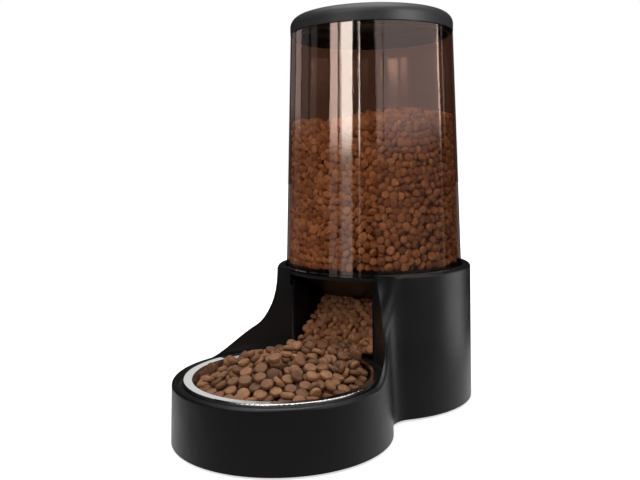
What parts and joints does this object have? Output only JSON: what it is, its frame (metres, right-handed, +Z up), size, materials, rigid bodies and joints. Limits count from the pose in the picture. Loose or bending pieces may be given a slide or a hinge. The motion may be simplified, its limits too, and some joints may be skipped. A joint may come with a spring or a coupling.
{
  "type": "automatic pet feeder",
  "caption": "Gravity-fed dry food feeder: round black base with a swept front, smoked clear tank with a domed lid, and a lift-out steel bowl, shown filled with food.",
  "frame": {"origin": "on the floor under the middle of the footprint, level with the underside of the rubber feet", "axes": "+Z up, -Y towards the bowl, +X to the right when facing the bowl's side from the back"},
  "size_m": [0.203, 0.3556, 0.3909],
  "materials": {
    "black_abs": "satin moulded",
    "smoked_clear": "glossy smoke-brown transparent",
    "stainless_steel": "polished",
    "zinc_screw": "zinc plated",
    "silicone": "soft matte",
    "foot_rubber": "matte",
    "dry_food": "dry, matte, brown"
  },
  "bodies": {
    "base": {"base_shell": "black_abs", "bottom_cover": "black_abs", "cover_screws": "zinc_screw", "hopper_seat": "black_abs", "seat_screws": "zinc_screw", "chute_tray": "black_abs", "chute_screws": "zinc_screw", "food_on_chute": "dry_food", "foot_rear_left": "foot_rubber", "foot_rear_middle": "foot_rubber", "foot_rear_right": "foot_rubber", "foot_front_left": "foot_rubber", "foot_front_middle": "foot_rubber", "foot_front_right": "foot_rubber"},
    "bowl": {"steel_bowl": "stainless_steel", "food_in_bowl": "dry_food"},
    "tank": {"tank": "smoked_clear", "food_in_tank": "dry_food"},
    "lid": {"lid_cap": "black_abs", "lid_plug": "black_abs", "lid_seal": "silicone"}
  },
  "joints": [
    {"name": "bowl_lift", "type": "slide", "parent": "base", "child": "bowl", "axis": [0, 0, 1], "range_m": [0, 0.05]},
    {"name": "tank_lift", "type": "slide", "parent": "base", "child": "tank", "axis": [0, 0, 1], "range_m": [0, 0.06]},
    {"name": "lid_lift", "type": "slide", "parent": "tank", "child": "lid", "axis": [0, 0, 1], "range_m": [0, 0.06]}
  ]
}
